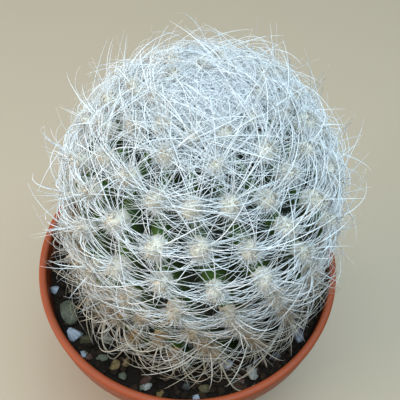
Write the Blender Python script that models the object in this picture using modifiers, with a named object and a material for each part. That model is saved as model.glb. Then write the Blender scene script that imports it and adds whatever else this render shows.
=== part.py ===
"""A potted neoporteria: a round, ribbed cactus in a thin plastic nursery pot, all in metres.

The origin is the middle of the pot's underside, +Z is up and the front of the plant faces -Y.
Four bodies are built: the pot, the soil with its grit, the green stem, and the coat of
spines, whose needles stand on cream wool pads and join them to each other.
"""
import math
import random

import bmesh
import bpy
import numpy as np
from mathutils import Matrix, Vector, noise

# Pot
POT_HEIGHT = 0.0560
RIM_RADIUS = 0.0325
LIP_WIDTH = 0.0016
LIP_ROUND = 0.0005
COLLAR_HEIGHT = 0.0080
COLLAR_TAPER = 0.0006
COLLAR_STEP = 0.0013
BASE_RADIUS = 0.0225
BASE_CHAMFER = 0.0006
WALL = 0.0011
FLOOR_THICKNESS = 0.0016
POT_SIDES = 48
DRAIN_HOLES = 4
DRAIN_RADIUS = 0.0028
DRAIN_CIRCLE = 0.0135
DRAIN_SIDES = 12

# Soil and grit
SOIL_TOP = 0.0505
SOIL_GAP = 0.0003
SOIL_LUMP = 0.0010
LUMPS_PER_METRE = 260
HOLE_RADIUS = 0.0212
HOLE_DEPTH = 0.0100
GRIT_STONES = 24
GRIT_SMALL = 0.0011
GRIT_LARGE = 0.0021
GRIT_CLEARANCE = 0.0224
GRIT_SEED = 21

# Stem
PLANT_SHIFT = 0.0020
STEM_RADIUS = 0.0225
STEM_MIDDLE = 0.0815
STEM_TOP_RISE = 0.0240
STEM_LOWER_DROP = 0.0800
NECK_GAP = 0.0006
NECK_DEPTH = 0.0090
RIBS = 18
RIB_LEAN = math.radians(0.85) / 0.0010
LEAN_ZERO = 0.0213
FURROW = 0.0016
TUBERCLE = 0.0012
FOOT_FADE = 0.0040

# Rows of areoles, followed along the ribs from the growing point
ROWS = 9
YOUNG_ROWS = 2
FIRST_ROW = 0.0070
ROW_STEP = 0.0073
YOUNG_SPACING = 0.55
RINGS_PER_ROW = 4
WANDER = 0.0006
WANDER_BY_RIB = 2.4
WANDER_BY_ROW = 1.7

# Wool pads and needles
PAD_RADIUS = 0.0019
PAD_LIFT = 0.0004
PAD_THICKNESS = 0.0017
YOUNG_PAD = 0.6
PAD_GROWTH = 0.2
PAD_SIDES = 5
CROWN_PAD = 0.0032
LINK_RADIUS = 0.00025
RADIAL_RADIUS = 0.00024
RADIALS = 3
RADIAL_LENGTH = (0.0070, 0.0110)
RADIAL_RISE = (0.30, 0.75)
CENTRAL_RADIUS = 0.00032
CENTRALS = 1
CENTRAL_LENGTH = (0.0150, 0.0210)
CENTRAL_RISE = (0.45, 0.95)
CENTRAL_CURL = (0.0005, 0.0030)
REACH = 0.0330
TIP_TOP = 0.1165
NEEDLE_SEED = 7

# Colours and finish
POT_COLOUR = (0.42, 0.085, 0.030, 1.0)
SOIL_COLOUR = (0.045, 0.032, 0.022, 1.0)
STEM_COLOUR = (0.055, 0.105, 0.030, 1.0)
SPINE_COLOUR = (0.80, 0.79, 0.74, 1.0)
SHARP_ANGLE = math.radians(35)


def make_material(name, colour, roughness):
    """A plain surface of one colour."""
    material = bpy.data.materials.new(name)
    material.use_nodes = True
    shader = material.node_tree.nodes["Principled BSDF"]
    shader.inputs["Base Color"].default_value = colour
    shader.inputs["Roughness"].default_value = roughness
    shader.inputs["Metallic"].default_value = 0.0
    material.diffuse_color = colour
    return material


def finish(thing, material):
    """One material for the whole object, and smooth shading between its sharp edges."""
    thing.data.materials.clear()
    thing.data.materials.append(material)
    thing.data.shade_smooth()
    thing.data.set_sharp_from_angle(angle=SHARP_ANGLE)


def new_collection(name):
    """A collection in the scene: one for the object, others for cutters and repeats."""
    collection = bpy.data.collections.new(name)
    bpy.context.scene.collection.children.link(collection)
    return collection


def add_object(name, mesh, collection):
    """Links a mesh as a named object."""
    thing = bpy.data.objects.new(name, mesh)
    collection.objects.link(thing)
    return thing


def turned(name, profile, sides, collection):
    """A profile of radius and height turned about the vertical axis."""
    mesh = bpy.data.meshes.new(name)
    points = [(radius, 0.0, height) for radius, height in profile]
    mesh.from_pydata(points, [(i, i + 1) for i in range(len(points) - 1)], [])
    thing = add_object(name, mesh, collection)
    screw = thing.modifiers.new("turn", "SCREW")
    screw.steps = sides
    screw.render_steps = sides
    screw.use_merge_vertices = True
    screw.merge_threshold = 0.00001
    screw.use_smooth_shade = False
    apply_modifiers(thing)
    return thing


def apply_modifiers(thing):
    """Replaces an object's mesh with the one its modifiers make."""
    graph = bpy.context.evaluated_depsgraph_get()
    mesh = bpy.data.meshes.new_from_object(thing.evaluated_get(graph))
    thing.modifiers.clear()
    old = thing.data
    thing.data = mesh
    bpy.data.meshes.remove(old)
    mesh.name = thing.name


def combine(target, others, operation, solver):
    """Cuts a collection from the target or joins it on, then takes the collection away."""
    step = target.modifiers.new("combine", "BOOLEAN")
    step.operation = operation
    step.solver = solver
    step.operand_type = "COLLECTION"
    step.collection = others
    apply_modifiers(target)
    for thing in list(others.objects):
        bpy.data.objects.remove(thing)
    bpy.data.collections.remove(others)


def add_repeat(bm, collection):
    """A finished cutter or repeat, which is never part of the object by itself."""
    mesh = bpy.data.meshes.new("repeat")
    bm.to_mesh(mesh)
    bm.free()
    thing = add_object("repeat_%d" % len(collection.objects), mesh, collection)
    thing.hide_render = True
    thing.display_type = "WIRE"
    return thing


def outer_wall(height):
    """The pot's outer radius below the collar."""
    top = RIM_RADIUS - COLLAR_TAPER - COLLAR_STEP
    return BASE_RADIUS + (top - BASE_RADIUS) * height / (POT_HEIGHT - COLLAR_HEIGHT)


def build_pot(collection):
    """A tapered shell with a collar, a rounded lip and four drain holes."""
    collar = POT_HEIGHT - COLLAR_HEIGHT
    inside = RIM_RADIUS - LIP_WIDTH
    profile = [
        (0.0, FLOOR_THICKNESS),
        (outer_wall(FLOOR_THICKNESS) - WALL, FLOOR_THICKNESS),
        (outer_wall(collar) - WALL, collar),
        (inside, collar + WALL),
        (inside, POT_HEIGHT - LIP_ROUND),
        (inside + LIP_ROUND, POT_HEIGHT),
        (RIM_RADIUS - LIP_ROUND, POT_HEIGHT),
        (RIM_RADIUS, POT_HEIGHT - LIP_ROUND),
        (RIM_RADIUS - COLLAR_TAPER, collar),
        (outer_wall(collar), collar),
        (BASE_RADIUS, BASE_CHAMFER),
        (BASE_RADIUS - BASE_CHAMFER, 0.0),
        (0.0, 0.0),
    ]
    pot = turned("pot", profile, POT_SIDES, collection)
    drains = new_collection("drains")
    for i in range(DRAIN_HOLES):
        angle = 2 * math.pi * (i + 0.5) / DRAIN_HOLES
        bm = bmesh.new()
        bmesh.ops.create_cone(bm, cap_ends=True, segments=DRAIN_SIDES, radius1=DRAIN_RADIUS,
                              radius2=DRAIN_RADIUS, depth=4 * FLOOR_THICKNESS)
        drain = add_repeat(bm, drains)
        drain.location = (DRAIN_CIRCLE * math.cos(angle), DRAIN_CIRCLE * math.sin(angle), 0.0)
    combine(pot, drains, "DIFFERENCE", "EXACT")
    finish(pot, make_material("pot_plastic", POT_COLOUR, 0.42))


def build_soil(collection):
    """The plug of soil, filled up into the collar: a lumpy top with grit, and the stem's hole."""
    low = FLOOR_THICKNESS + SOIL_GAP
    collar = POT_HEIGHT - COLLAR_HEIGHT
    edge = RIM_RADIUS - LIP_WIDTH - SOIL_GAP
    profile = [
        (0.0, SOIL_TOP),
        (HOLE_RADIUS - PLANT_SHIFT * 2, SOIL_TOP),
        (HOLE_RADIUS + PLANT_SHIFT * 2, SOIL_TOP),
        ((HOLE_RADIUS + PLANT_SHIFT * 2 + edge) / 2, SOIL_TOP),
        (edge, SOIL_TOP),
        (edge, collar + WALL + SOIL_GAP),
        (outer_wall(collar) - WALL - SOIL_GAP, collar + SOIL_GAP),
        (outer_wall(low) - WALL - SOIL_GAP, low),
        (0.0, low),
    ]
    soil = turned("soil", profile, POT_SIDES, collection)
    for vert in soil.data.vertices:
        radius = math.hypot(vert.co.x, vert.co.y)
        if vert.co.z > SOIL_TOP - SOIL_LUMP and HOLE_RADIUS < radius < edge - SOIL_GAP:
            vert.co.z += SOIL_LUMP * noise.noise(vert.co * LUMPS_PER_METRE)
    hole = new_collection("hole")
    bm = bmesh.new()
    bmesh.ops.create_cone(bm, cap_ends=True, segments=POT_SIDES, radius1=HOLE_RADIUS,
                          radius2=HOLE_RADIUS, depth=2 * HOLE_DEPTH)
    add_repeat(bm, hole).location = (PLANT_SHIFT, 0.0, SOIL_TOP)
    combine(soil, hole, "DIFFERENCE", "EXACT")
    rng = random.Random(GRIT_SEED)
    stones = new_collection("stones")
    for i in range(GRIT_STONES):
        angle = 2 * math.pi * (i + rng.uniform(0.2, 0.8)) / GRIT_STONES
        size = rng.uniform(GRIT_SMALL, GRIT_LARGE)
        inner = PLANT_SHIFT * math.cos(angle) + GRIT_CLEARANCE + size * 1.2
        distance = rng.uniform(inner, max(inner, edge - size * 1.2))
        bm = bmesh.new()
        bmesh.ops.create_icosphere(bm, subdivisions=1, radius=size)
        stone = add_repeat(bm, stones)
        stone.scale = (rng.uniform(0.85, 1.15), rng.uniform(0.8, 1.1), rng.uniform(0.6, 0.75))
        stone.rotation_euler.z = rng.uniform(0.0, math.pi)
        stone.location = (distance * math.cos(angle), distance * math.sin(angle),
                          SOIL_TOP + size * 0.25)
    combine(soil, stones, "UNION", "MANIFOLD")
    finish(soil, make_material("soil_mix", SOIL_COLOUR, 0.95))


def row_distance(row):
    """How far a row of areoles is from the growing point; young rows stand closer."""
    return FIRST_ROW + ROW_STEP * (row - 1 + YOUNG_SPACING ** row)


def rib_turn(distance):
    """How far the leaning ribs have turned about the stem's axis at a distance."""
    return RIB_LEAN * (distance - LEAN_ZERO)


class Outline:
    """The stem's smooth outline, followed from the growing point down to the soil."""

    def __init__(self):
        foot = math.asin((STEM_MIDDLE - SOIL_TOP - NECK_GAP) / STEM_LOWER_DROP)
        angle = np.linspace(math.pi / 2, -foot, 800)
        drop = np.where(angle > 0, STEM_TOP_RISE, STEM_LOWER_DROP)
        self.radius = STEM_RADIUS * np.cos(angle)
        self.height = STEM_MIDDLE + drop * np.sin(angle)
        steps = np.hypot(np.diff(self.radius), np.diff(self.height))
        self.distance = np.concatenate(([0.0], np.cumsum(steps)))
        self.length = self.distance[-1]
        self.rows = [row_distance(row) for row in range(ROWS + 2)]

    def at(self, distance):
        """Radius and height at a distance from the growing point."""
        radius = np.interp(distance, self.distance, self.radius)
        height = np.interp(distance, self.distance, self.height)
        return float(radius), float(height)

    def distance_at(self, height):
        """The distance from the growing point to a height."""
        return float(np.interp(-height, -self.height, self.distance))

    def outward(self, distance):
        """The outline's outward direction, as a share along the radius and one upward."""
        before = Vector(self.at(distance - 0.0004))
        after = Vector(self.at(distance + 0.0004))
        along = (after - before).normalized()
        return Vector((-along.y, along.x))

    def place(self, distance, angle, lift):
        """A point over the outline, lifted off it along its own outward direction."""
        radius, height = self.at(distance)
        out = self.outward(distance)
        flat = radius + lift * out.x
        return Vector((flat * math.cos(angle), flat * math.sin(angle), height + lift * out.y))

    def relief(self, distance, angle):
        """Rise over the smooth outline: ribs with furrows, and a knob for each areole.

        It dies away at the growing point and at the foot.
        """
        turn = (angle + math.pi / 2 - rib_turn(distance)) * RIBS
        crest = 0.5 * (1 + math.cos(turn))
        row = np.interp(distance, self.rows, range(len(self.rows)))
        knob = 0.5 * (1 + math.cos(2 * math.pi * row))
        fade = min(1.0, distance / self.rows[1], (self.length - distance) / FOOT_FADE)
        return fade * (TUBERCLE * crest * knob - FURROW * (1 - crest))


def build_stem(collection, outline):
    """The ribbed, knobbly stem; its plain neck stands in the hole in the soil."""
    rings = [0.0, FIRST_ROW / 3, FIRST_ROW * 2 / 3]
    step = 0
    while row_distance(step / RINGS_PER_ROW) < outline.length - NECK_GAP:
        rings.append(row_distance(step / RINGS_PER_ROW))
        step += 1
    rings.append(outline.length)
    profile = [outline.at(distance) for distance in rings]
    profile[0] = (0.0, profile[0][1])
    neck = HOLE_RADIUS - NECK_GAP
    low = SOIL_TOP - NECK_DEPTH
    profile += [(neck, low), (0.0, low)]
    stem = turned("stem", profile, 2 * RIBS, collection)
    for vert in stem.data.vertices:
        radius = math.hypot(vert.co.x, vert.co.y)
        if radius > NECK_GAP:
            distance = outline.distance_at(vert.co.z)
            angle = math.atan2(vert.co.y, vert.co.x) + rib_turn(distance)
            vert.co.x = radius * math.cos(angle)
            vert.co.y = radius * math.sin(angle)
            if distance < outline.length:
                rise = outline.relief(distance, angle)
                vert.co = outline.place(distance, angle, rise)
    stem.location.x = PLANT_SHIFT
    finish(stem, make_material("stem_flesh", STEM_COLOUR, 0.55))


class Areole:
    """The seat of one wool pad: its foot, its outward direction and two directions across."""

    def __init__(self, outline, rib, row):
        wander = WANDER * math.sin(WANDER_BY_RIB * rib + WANDER_BY_ROW * row)
        distance = row_distance(row) + wander
        angle = -math.pi / 2 + 2 * math.pi * rib / RIBS + rib_turn(distance)
        self.foot = outline.place(distance, angle, TUBERCLE + PAD_LIFT)
        out = outline.outward(distance)
        self.out = Vector((out.x * math.cos(angle), out.x * math.sin(angle), out.y))
        self.side = Vector((-math.sin(angle), math.cos(angle), 0.0))
        self.up = self.out.cross(self.side)
        self.heart = self.foot + self.out * PAD_THICKNESS * 0.45


def find_areoles(outline):
    """Areoles keyed by rib and row; young rows have them on every second rib, in turn."""
    areoles = {}
    for row in range(ROWS):
        ribs = range(row % 2, RIBS, 2) if row < YOUNG_ROWS else range(RIBS)
        for rib in ribs:
            areoles[rib, row] = Areole(outline, rib, row)
    return areoles


def aim(start, direction):
    """The matrix that stands a shape made along +Z on a start point."""
    return Matrix.Translation(start) @ direction.to_track_quat("Z", "Y").to_matrix().to_4x4()


def pad(foot, out, radius):
    """A low cushion of wool."""
    bm = bmesh.new()
    bmesh.ops.create_cone(bm, cap_ends=True, segments=PAD_SIDES, radius1=radius, radius2=0.0,
                          depth=PAD_THICKNESS)
    bmesh.ops.transform(bm, verts=bm.verts, matrix=aim(foot + out * PAD_THICKNESS / 2, out))
    return bm


def link(first, second):
    """A straight three-sided needle from one pad into the next."""
    bm = bmesh.new()
    along = second - first
    bmesh.ops.create_cone(bm, cap_ends=True, segments=3, radius1=LINK_RADIUS,
                          radius2=LINK_RADIUS, depth=along.length)
    bmesh.ops.transform(bm, verts=bm.verts, matrix=aim((first + second) / 2, along))
    return bm


def needle(start, direction, length, radius, bend):
    """A three-sided needle with a sharp tip; a bend makes it curve away, more at the tip."""
    bm = bmesh.new()
    bmesh.ops.create_cone(bm, cap_ends=True, segments=3, radius1=radius, radius2=0.0,
                          depth=length)
    bmesh.ops.translate(bm, verts=bm.verts, vec=(0.0, 0.0, length / 2))
    if bend.length > 0:
        sides = [edge for edge in bm.edges if edge.calc_length() > length / 2]
        bmesh.ops.subdivide_edges(bm, edges=sides, cuts=1)
    bmesh.ops.transform(bm, verts=bm.verts, matrix=aim(start, direction))
    for vert in bm.verts:
        share = (vert.co - start).dot(direction) / length
        vert.co += bend * share * abs(share)
    return bm


def shorten(start, direction, length, bend):
    """Cuts a needle's length until its tip is within the coat's reach and off the soil."""
    while length > 0.004:
        tip = start + direction * length + bend
        reach = REACH
        if tip.z < POT_HEIGHT + 0.012:
            reach = RIM_RADIUS - LIP_WIDTH - PLANT_SHIFT - 0.0012
        flat = math.hypot(tip.x, tip.y)
        if flat < reach and SOIL_TOP + 0.0045 < tip.z < TIP_TOP:
            return length
        length -= 0.0005
    return length


def radial_needles(areole, count, rng):
    """Straight needles fanned round the pad, low over the stem."""
    shapes = []
    first = rng.uniform(0.0, 2 * math.pi)
    for i in range(count):
        angle = first + 2 * math.pi * (i + rng.uniform(-0.2, 0.2)) / count
        across = areole.side * math.cos(angle) + areole.up * math.sin(angle)
        direction = (across + areole.out * rng.uniform(*RADIAL_RISE)).normalized()
        length = rng.uniform(*RADIAL_LENGTH)
        length = shorten(areole.heart, direction, length, Vector())
        shapes.append(needle(areole.heart, direction, length, RADIAL_RADIUS, Vector()))
    return shapes


def central_needles(areole, rng):
    """Longer needles that lean over the stem and curl round it toward the tip."""
    shapes = []
    for _ in range(CENTRALS):
        angle = rng.uniform(-0.25, 1.25) * math.pi
        across = areole.side * math.cos(angle) + areole.up * math.sin(angle)
        direction = (across + areole.out * rng.uniform(*CENTRAL_RISE)).normalized()
        bend = areole.up * rng.uniform(-0.001, 0.002) - areole.out * rng.uniform(*CENTRAL_CURL)
        length = rng.uniform(*CENTRAL_LENGTH)
        length = shorten(areole.heart, direction, length, bend)
        shapes.append(needle(areole.heart, direction, length, CENTRAL_RADIUS, bend))
    return shapes


def build_spines(collection, outline):
    """The spine coat, one body: pads joined by needles up to the crown, and free needles."""
    rng = random.Random(NEEDLE_SEED)
    areoles = find_areoles(outline)
    up = Vector((0.0, 0.0, 1.0))
    crown = Vector((0.0, 0.0, STEM_MIDDLE + STEM_TOP_RISE + PAD_LIFT))
    mesh = bpy.data.meshes.new("spines")
    bm = pad(crown, up, CROWN_PAD)
    bm.to_mesh(mesh)
    bm.free()
    spines = add_object("spines", mesh, collection)
    repeats = new_collection("repeats")
    for (rib, row), areole in areoles.items():
        size = PAD_RADIUS * min(1.0, YOUNG_PAD + PAD_GROWTH * row)
        add_repeat(pad(areole.foot, areole.out, size), repeats)
        turn = 1 if (rib + row) % 2 else -1
        upper = areoles.get(((rib + turn) % RIBS, row - 1)) or areoles.get((rib, row - 1))
        target = upper.heart if upper else crown + up * PAD_THICKNESS * 0.4
        add_repeat(link(areole.heart, target), repeats)
        radials = radial_needles(areole, RADIALS - (rib + row) % 2, rng)
        for shape in radials + central_needles(areole, rng):
            add_repeat(shape, repeats)
    combine(spines, repeats, "UNION", "MANIFOLD")
    spines.location.x = PLANT_SHIFT
    finish(spines, make_material("spine_coat", SPINE_COLOUR, 0.6))


def main():
    """Clears the scene and builds the four bodies."""
    for thing in list(bpy.data.objects):
        bpy.data.objects.remove(thing)
    collection = new_collection("potted_neoporteria")
    outline = Outline()
    build_pot(collection)
    build_soil(collection)
    build_stem(collection, outline)
    build_spines(collection, outline)
    for thing in collection.objects:
        thing.data.calc_loop_triangles()
        print(thing.name, len(thing.data.loop_triangles), "triangles")


main()
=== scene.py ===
# %% [markdown]
# # A potted neoporteria
#
# This lesson dresses a small potted cactus: a round, ribbed stem that almost vanishes under
# white spines, in a thin red plastic nursery pot with dark gritty soil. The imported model
# gives the plain solids at their true size. Each one is replaced here by finer pieces that
# keep its form: a turned pot, crumbly soil with stones, a fleshy stem, cream wool tufts and
# several thousand curved spines.

import math

import bmesh
import bpy
import numpy as np
from mathutils import Matrix, Vector, noise


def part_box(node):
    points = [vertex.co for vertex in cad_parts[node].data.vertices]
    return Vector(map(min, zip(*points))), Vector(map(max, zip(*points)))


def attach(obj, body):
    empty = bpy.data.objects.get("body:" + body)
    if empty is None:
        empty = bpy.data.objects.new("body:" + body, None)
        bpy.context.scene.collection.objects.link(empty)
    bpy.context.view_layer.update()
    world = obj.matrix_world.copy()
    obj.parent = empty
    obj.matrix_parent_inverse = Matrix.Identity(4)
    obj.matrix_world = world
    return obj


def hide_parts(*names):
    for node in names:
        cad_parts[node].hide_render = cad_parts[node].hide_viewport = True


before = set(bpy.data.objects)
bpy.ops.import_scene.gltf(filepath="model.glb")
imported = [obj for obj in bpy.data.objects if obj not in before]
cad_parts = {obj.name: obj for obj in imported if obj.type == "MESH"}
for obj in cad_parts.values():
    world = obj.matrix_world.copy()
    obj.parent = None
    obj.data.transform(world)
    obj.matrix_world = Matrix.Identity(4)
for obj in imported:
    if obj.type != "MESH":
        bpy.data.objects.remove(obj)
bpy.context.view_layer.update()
print("nodes:", sorted(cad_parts))

# %% [markdown]
# ## Sizes
#
# Everything is in metres. The pot's rim, the plant's axis and the reach of its spines are read
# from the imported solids, so a piece always sits where the solid is. The soil's level, the
# stem's outline and the spacing of its areoles are driving sizes, the same as in the solids.

# %% Sizes taken from the solids
MM = 0.001
pot_low, pot_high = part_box("pot")
stem_low, stem_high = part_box("stem")
soil_low, soil_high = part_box("soil")
spine_low, spine_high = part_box("spines")

RIM_Z = pot_high.z
RIM_RADIUS = (pot_high.x - pot_low.x) / 2
PLANT_X = (stem_high.x + stem_low.x) / 2
SOIL_TOP = 50.5 * MM
REACH = min(spine_high.x - PLANT_X, PLANT_X - spine_low.x, spine_high.y, -spine_low.y)
TOP_Z = spine_high.z
print("soil's plug from %.1f to %.1f mm" % (soil_low.z / MM, soil_high.z / MM))
print("rim at %.1f mm, plant's axis at x %.2f mm" % (RIM_Z / MM, PLANT_X / MM))
print("spines may reach %.1f mm from the axis, %.1f mm high" % (REACH / MM, TOP_Z / MM))

# %% The stem's driving sizes
STEM_RADIUS = 22.5 * MM
STEM_MIDDLE = 81.5 * MM
STEM_TOP_RISE = 24.0 * MM
STEM_LOWER_DROP = 80.0 * MM
NECK_RADIUS = 20.6 * MM
NECK_GAP = 0.6 * MM
RIBS = 18
RIB_LEAN = math.radians(0.85) / MM
LEAN_ZERO = 21.3 * MM
FURROW = 1.6 * MM
TUBERCLE = 1.2 * MM
FOOT_FADE = 4.0 * MM

# %% Rows of areoles, followed along the ribs from the growing point
ROWS = 9
YOUNG_ROWS = 2
FIRST_ROW = 7.0 * MM
ROW_STEP = 7.3 * MM
YOUNG_SPACING = 0.55
WANDER = 0.6 * MM

# %% [markdown]
# ## Small helpers for shapes
#
# A new piece starts as a bmesh, is shaped by operators, and ends as a mesh object at the
# origin. One helper does that last step for every piece: it links the object, shades it
# smooth, gives it its material, tells the frame what it rides on, and hides the solid that
# it stands for.

# %% Turning a bmesh or a mesh into a finished piece
def put(name, data):
    """A new object in the scene, holding a mesh, a light or a camera."""
    made = bpy.data.objects.new(name, data)
    bpy.context.scene.collection.objects.link(made)
    return made


def add_piece(name, mesh, material, node):
    """Links a mesh as a piece that rides on the root and stands for one solid."""
    mesh.materials.clear()
    mesh.materials.append(material)
    mesh.shade_smooth()
    piece = put(name, mesh)
    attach(piece, "root")
    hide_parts(node)
    mesh.calc_loop_triangles()
    print("%s: %d triangles" % (name, len(mesh.loop_triangles)))
    return piece


def mesh_from(bm, name):
    """Ends a bmesh as a mesh with its normals outward."""
    bmesh.ops.recalc_face_normals(bm, faces=bm.faces)
    mesh = bpy.data.meshes.new(name)
    bm.to_mesh(mesh)
    bm.free()
    return mesh


def spin_profile(points, steps):
    """A chain of radius and height points spun once round the vertical axis."""
    bm = bmesh.new()
    chain = [bm.verts.new((radius, 0.0, height)) for radius, height in points]
    for first, second in zip(chain, chain[1:]):
        bm.edges.new((first, second))
    bmesh.ops.spin(bm, geom=bm.verts[:] + bm.edges[:], cent=(0, 0, 0), axis=(0, 0, 1),
                   angle=math.tau, steps=steps, use_merge=True)
    bmesh.ops.remove_doubles(bm, verts=bm.verts, dist=0.001 * MM)
    return bm


def arc(centre, radius, start, end, steps):
    """Points of a round stretch of a profile, angles in degrees."""
    angles = np.radians(np.linspace(start, end, steps))
    return [(centre[0] + radius * math.cos(a), centre[1] + radius * math.sin(a)) for a in angles]


def points_of(mesh):
    """A mesh's points as an array of rows."""
    flat = np.empty(len(mesh.vertices) * 3)
    mesh.vertices.foreach_get("co", flat)
    return flat.reshape(-1, 3)


def store(mesh, name, values):
    """Keeps a number or a colour at each point of a mesh."""
    kind, field = ("FLOAT_COLOR", "color") if values.ndim == 2 else ("FLOAT", "value")
    layer = mesh.attributes.new(name, kind, "POINT")
    layer.data.foreach_set(field, values.astype(np.float32).ravel())

# %% [markdown]
# ## Small helpers for finishes
#
# A material's pattern is easiest to read as a sum. The class below wraps a socket so that
# Python's own operators add Math nodes, and a Finish object holds one material and the few
# ways of making nodes in it. Colours are mixed by a Mix node, because a Math node would
# turn them grey.

# %% A socket that can be reckoned with
class Reading:
    """One output socket; arithmetic on it adds Math nodes."""

    def __init__(self, finish, socket):
        self.finish = finish
        self.socket = socket

    def _math(self, operation, first, second):
        return self.finish.node("ShaderNodeMath", {"operation": operation},
                                {0: first, 1: second})

    def __add__(self, other):
        return self._math("ADD", self, other)

    def __radd__(self, other):
        return self._math("ADD", other, self)

    def __sub__(self, other):
        return self._math("SUBTRACT", self, other)

    def __rsub__(self, other):
        return self._math("SUBTRACT", other, self)

    def __mul__(self, other):
        return self._math("MULTIPLY", self, other)

    def __rmul__(self, other):
        return self._math("MULTIPLY", other, self)

# %% A material under construction
class Finish:
    """One material: its Principled shader, and the nodes that feed it."""

    def __init__(self, name):
        self.material = bpy.data.materials.new(name)
        self.material.use_nodes = True
        self.tree = self.material.node_tree
        self.shader = self.tree.nodes["Principled BSDF"]

    def node(self, kind, settings, values, output=0):
        """Adds a node: its settings first, then the values or links of its sockets."""
        made = self.tree.nodes.new(kind)
        for key, value in settings.items():
            setattr(made, key, value)
        for key, value in values.items():
            self._feed(made.inputs[key], value)
        return Reading(self, made.outputs[output])

    def _feed(self, socket, value):
        if isinstance(value, Reading):
            self.tree.links.new(value.socket, socket)
        else:
            socket.default_value = value

    def feed(self, name, value):
        """Sets or links one input of the Principled shader."""
        self._feed(self.shader.inputs[name], value)

    def place(self):
        """Object coordinates, in metres."""
        return self.node("ShaderNodeTexCoord", {}, {}, "Object")

    def attribute(self, name, output="Fac"):
        """A number stored at the mesh's points, or a colour with Color as the output."""
        return self.node("ShaderNodeAttribute", {"attribute_name": name}, {}, output)

    def noise(self, scale, detail=3.0, roughness=0.55):
        """Cloudy noise from 0 to 1; scale is in waves to the metre."""
        return self.node("ShaderNodeTexNoise", {}, {"Vector": self.place(), "Scale": scale,
                         "Detail": detail, "Roughness": roughness})

    def span(self, value, low, high, to_low=0.0, to_high=1.0):
        """Stretches a range of values onto another, held within it."""
        return self.node("ShaderNodeMapRange", {"clamp": True}, {0: value, 1: low, 2: high,
                         3: to_low, 4: to_high})

    def mix(self, factor, first, second, blend="MIX"):
        """Mixes two colours."""
        return self.node("ShaderNodeMix", {"data_type": "RGBA", "blend_type": blend},
                         {0: factor, 6: first, 7: second}, 2)

    def bump(self, height, distance):
        """Small relief for the Normal input."""
        self.feed("Normal", self.node("ShaderNodeBump", {}, {"Height": height,
                                                             "Distance": distance}))


def colour(red, green, blue):
    """A colour from the 0 to 255 values of a screen, made linear."""
    parts = []
    for value in (red, green, blue):
        share = value / 255
        parts.append(share / 12.92 if share <= 0.04045 else ((share + 0.055) / 1.055) ** 2.4)
    return (*parts, 1.0)

# %% [markdown]
# ## The pot
#
# A nursery pot is thin moulded plastic: a tapered wall, a collar that stiffens the mouth
# and a lip rounded by the mould. It could be cut from a cylinder, but it is a turned shape,
# so one profile is spun round the axis. The drain holes are cut through the floor
# afterwards.

# %% The pot's profile
LIP_WIDTH = 1.6 * MM
COLLAR_HEIGHT = 8.0 * MM
COLLAR_TAPER = 0.6 * MM
COLLAR_STEP = 1.3 * MM
BASE_RADIUS = 22.5 * MM
WALL = 1.1 * MM
FLOOR = 1.6 * MM
SOFT_EDGE = 0.5 * MM
CORNER = 1.0 * MM
FOOT_EDGE = 0.7 * MM
COLLAR_Z = RIM_Z - COLLAR_HEIGHT
WALL_TOP = RIM_RADIUS - COLLAR_TAPER - COLLAR_STEP


def wall_radius(height):
    """The pot's outer radius below the collar."""
    return BASE_RADIUS + (WALL_TOP - BASE_RADIUS) * height / COLLAR_Z


def pot_profile():
    """From the inside of the floor, up the inner wall, over the lip and down the outside."""
    inside = RIM_RADIUS - LIP_WIDTH
    lip = LIP_WIDTH / 2 - 0.15 * MM
    corner_at = wall_radius(FLOOR) - WALL - CORNER
    points = [(0.0, FLOOR), (corner_at, FLOOR)]
    points += arc((corner_at, FLOOR + CORNER), CORNER, -80, -5, 4)
    points += [(wall_radius(COLLAR_Z) - WALL, COLLAR_Z)]
    points += [(inside - 0.12 * MM, COLLAR_Z + WALL), (inside, COLLAR_Z + WALL + SOFT_EDGE)]
    points += [(inside, RIM_Z - lip)]
    points += arc((inside + lip, RIM_Z - lip), lip, 170, 95, 5)
    points += arc((RIM_RADIUS - lip, RIM_Z - lip), lip, 85, 5, 5)
    points += [(RIM_RADIUS - 0.05 * MM, RIM_Z - 2.0 * MM)]
    points += [(RIM_RADIUS - COLLAR_TAPER + 0.05 * MM, COLLAR_Z + SOFT_EDGE)]
    collar_edge = (RIM_RADIUS - COLLAR_TAPER - SOFT_EDGE, COLLAR_Z + SOFT_EDGE)
    points += arc(collar_edge, SOFT_EDGE, 0, -90, 4)
    points += [(wall_radius(COLLAR_Z) + 0.25 * MM, COLLAR_Z)]
    points += [(wall_radius(COLLAR_Z) - 0.02 * MM, COLLAR_Z - 0.3 * MM)]
    points += [(wall_radius(8 * MM), 8 * MM)]
    points += arc((BASE_RADIUS - FOOT_EDGE, FOOT_EDGE), FOOT_EDGE, 0, -90, 4)
    points += [(BASE_RADIUS - 3.0 * MM, 0.0), (0.0, 0.0)]
    return points

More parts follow.
